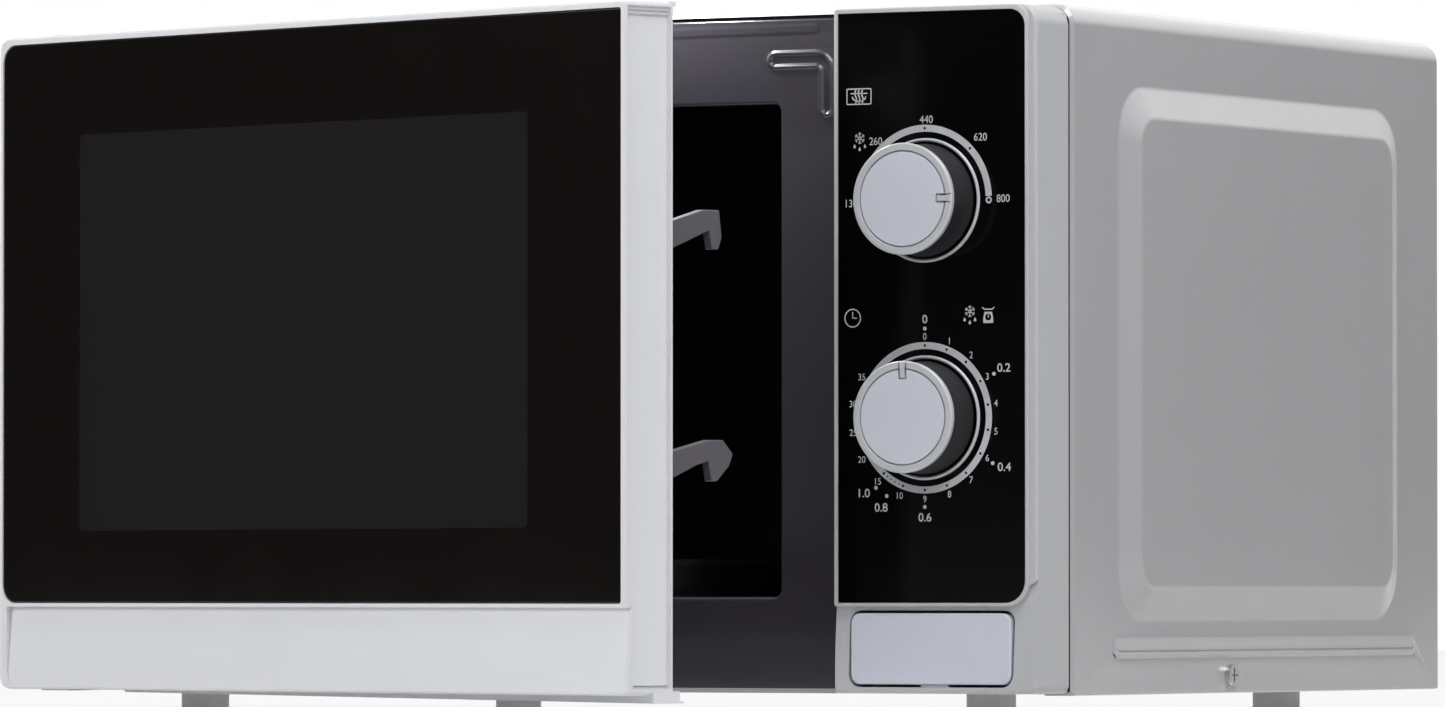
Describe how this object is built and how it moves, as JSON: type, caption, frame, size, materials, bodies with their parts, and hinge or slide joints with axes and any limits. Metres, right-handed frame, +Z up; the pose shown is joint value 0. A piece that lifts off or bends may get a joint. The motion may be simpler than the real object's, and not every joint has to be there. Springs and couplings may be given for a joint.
{
  "type": "microwave oven",
  "caption": "Free-standing microwave oven with a side-hinged glass door ajar, a dial timer and power dial, a push button that opens the door, and a glass turntable.",
  "frame": {"origin": "centre of the four feet, on the plane that they stand on", "axes": "+X to the right seen from the front, +Y from the front to the back, +Z up"},
  "size_m": [0.4474, 0.4493, 0.2578],
  "materials": {
    "cabinet_paint": "satin light grey paint on sheet steel",
    "frame_paint": "semi-gloss dark grey enamel",
    "galvanised": "zinc plated sheet",
    "zinc_screws": "bright zinc",
    "white_moulding": "satin white moulded ABS",
    "black_glass": "glass printed black on its back, with a lighter window",
    "black_plate": "glossy black printed film",
    "silver_paint": "silver painted plastic",
    "knob_black": "fine satin black",
    "button_grey": "satin blue-grey",
    "dark_moulding": "dark grey moulded acetal",
    "ivory_moulding": "unpainted moulding",
    "steel": "bright steel",
    "spring_steel": "drawn wire",
    "inner_enamel": "dark enamel on sheet steel",
    "screen_steel": "perforated sheet, painted",
    "choke_plastic": "black moulding",
    "clear_film": "clear film",
    "mica": "mica sheet",
    "rubber_feet": "moulded rubber",
    "bush_black": "moulded nylon",
    "lamp_glass": "bulb glass",
    "cutout_black": "phenolic moulding",
    "aluminium": "pressed fins",
    "copper": "enamelled winding",
    "iron_core": "varnished laminations",
    "can": "drawn can",
    "board_green": "circuit board",
    "tray_glass": "pressed clear glass",
    "white_acetal": "heat-proof moulding"
  },
  "bodies": {
    "oven": {"outer_cabinet": "cabinet_paint", "base_plate": "galvanised", "rear_panel": "galvanised", "feet": "rubber_feet", "cabinet_screws": "zinc_screws", "cord_inlet": "bush_black", "front_frame": "frame_paint", "cavity_liner": "inner_enamel", "waveguide": "galvanised", "waveguide_cover": "mica", "cavity_lamp": "lamp_glass", "lamp_holder": "ivory_moulding", "thermal_cutouts": "cutout_black", "turntable_motor": "galvanised", "magnetron_body": "galvanised", "magnetron_fins": "aluminium", "magnetron_filter_box": "galvanised", "transformer_core": "iron_core", "transformer_windings": "copper", "hv_capacitor": "can", "capacitor_clamp": "galvanised", "hv_diode": "cutout_black", "fan_motor": "iron_core", "fan_duct": "ivory_moulding", "filter_board": "board_green", "door_hinges": "steel", "latch_board": "ivory_moulding", "interlock_switches": "cutout_black", "control_panel": "white_moulding", "control_plate": "black_plate", "knob_base_rings": "silver_paint", "timer_unit": "ivory_moulding", "timer_bell": "steel", "power_control_unit": "ivory_moulding", "button_spring": "spring_steel"},
    "door": {"door_frame": "white_moulding", "door_glass": "black_glass", "door_inner_panel": "inner_enamel", "door_screen": "screen_steel", "choke_cover": "choke_plastic", "window_film": "clear_film", "latch_spring": "spring_steel"},
    "latch_hook": {"latch_hook": "dark_moulding"},
    "door_button": {"door_button": "button_grey"},
    "door_open_lever": {"door_open_lever": "white_acetal"},
    "switch_lever": {"switch_lever": "white_acetal"},
    "timer_knob": {"timer_knob_skirt": "knob_black", "timer_knob_cap": "silver_paint", "timer_shaft": "steel"},
    "power_knob": {"power_knob_skirt": "knob_black", "power_knob_cap": "silver_paint", "power_shaft": "steel"},
    "fan": {"fan_blade": "aluminium", "fan_shaft": "steel"},
    "coupler": {"drive_coupler": "white_acetal"},
    "tray": {"glass_tray": "tray_glass"},
    "ring": {"roller_ring": "white_acetal"},
    "roller_1": {"roller_1": "white_acetal"},
    "roller_2": {"roller_2": "white_acetal"},
    "roller_3": {"roller_3": "white_acetal"}
  },
  "joints": [
    {"name": "door_hinge", "type": "hinge", "parent": "oven", "child": "door", "pos_m": [-0.208, -0.1697, 0.1328], "axis": [0, 0, -1], "range_deg": [-18.7, 81.3]},
    {"name": "hook_slide", "type": "slide", "parent": "door", "child": "latch_hook", "axis": [0, 0, 1], "range_m": [-0.002, 0.004], "stiffness_N_per_m": 600, "deforming": ["latch_spring"]},
    {"name": "button_push", "type": "slide", "parent": "oven", "child": "door_button", "axis": [0, 1, 0], "range_m": [0, 0.005], "stiffness_N_per_m": 800, "deforming": ["button_spring"]},
    {"name": "lever_turn", "type": "hinge", "parent": "oven", "child": "door_open_lever", "pos_m": [0.1325, -0.147, 0.0498], "axis": [1, 0, 0], "range_deg": [0, 14.5]},
    {"name": "switch_lever_turn", "type": "hinge", "parent": "oven", "child": "switch_lever", "pos_m": [0.1325, -0.1207, 0.1198], "axis": [1, 0, 0], "range_deg": [0, 8], "stiffness_Nm_per_rad": 0.05},
    {"name": "timer_turn", "type": "hinge", "parent": "oven", "child": "timer_knob", "pos_m": [0.1749, -0.1827, 0.1093], "axis": [0, 1, 0], "range_deg": [0, 300]},
    {"name": "power_turn", "type": "hinge", "parent": "oven", "child": "power_knob", "pos_m": [0.1749, -0.1827, 0.1871], "axis": [0, 1, 0], "range_deg": [-180, 0]},
    {"name": "fan_spin", "type": "hinge", "parent": "oven", "child": "fan", "pos_m": [0.16512, 0.12, 0.1898], "axis": [0, 1, 0], "continuous": true},
    {"name": "coupler_spin", "type": "hinge", "parent": "oven", "child": "coupler", "pos_m": [-0.0425, -0.0053, 0.0308], "axis": [0, 0, 1], "continuous": true},
    {"name": "tray_lift", "type": "slide", "parent": "coupler", "child": "tray", "axis": [0, 0, 1], "range_m": [0, 0.03]},
    {"name": "ring_spin", "type": "hinge", "parent": "oven", "child": "ring", "pos_m": [-0.0425, -0.0053, 0.0308], "axis": [0, 0, 1], "continuous": true},
    {"name": "roller_1_spin", "type": "hinge", "parent": "ring", "child": "roller_1", "pos_m": [-0.0425, 0.0862, 0.03785], "axis": [0, 1, 0], "continuous": true},
    {"name": "roller_2_spin", "type": "hinge", "parent": "ring", "child": "roller_2", "pos_m": [-0.12174, -0.05105, 0.03785], "axis": [-0.866, -0.5, 0], "continuous": true},
    {"name": "roller_3_spin", "type": "hinge", "parent": "ring", "child": "roller_3", "pos_m": [0.03674, -0.05105, 0.03785], "axis": [0.866, -0.5, 0], "continuous": true}
  ],
  "couplings": [
    {"joint": "lever_turn", "follows": "button_push", "rad_per_m": 50.6},
    {"joint": "ring_spin", "follows": "coupler_spin", "ratio": 0.5},
    {"joint": "roller_1_spin", "follows": "coupler_spin", "ratio": -6.5357},
    {"joint": "roller_2_spin", "follows": "coupler_spin", "ratio": -6.5357},
    {"joint": "roller_3_spin", "follows": "coupler_spin", "ratio": -6.5357}
  ]
}
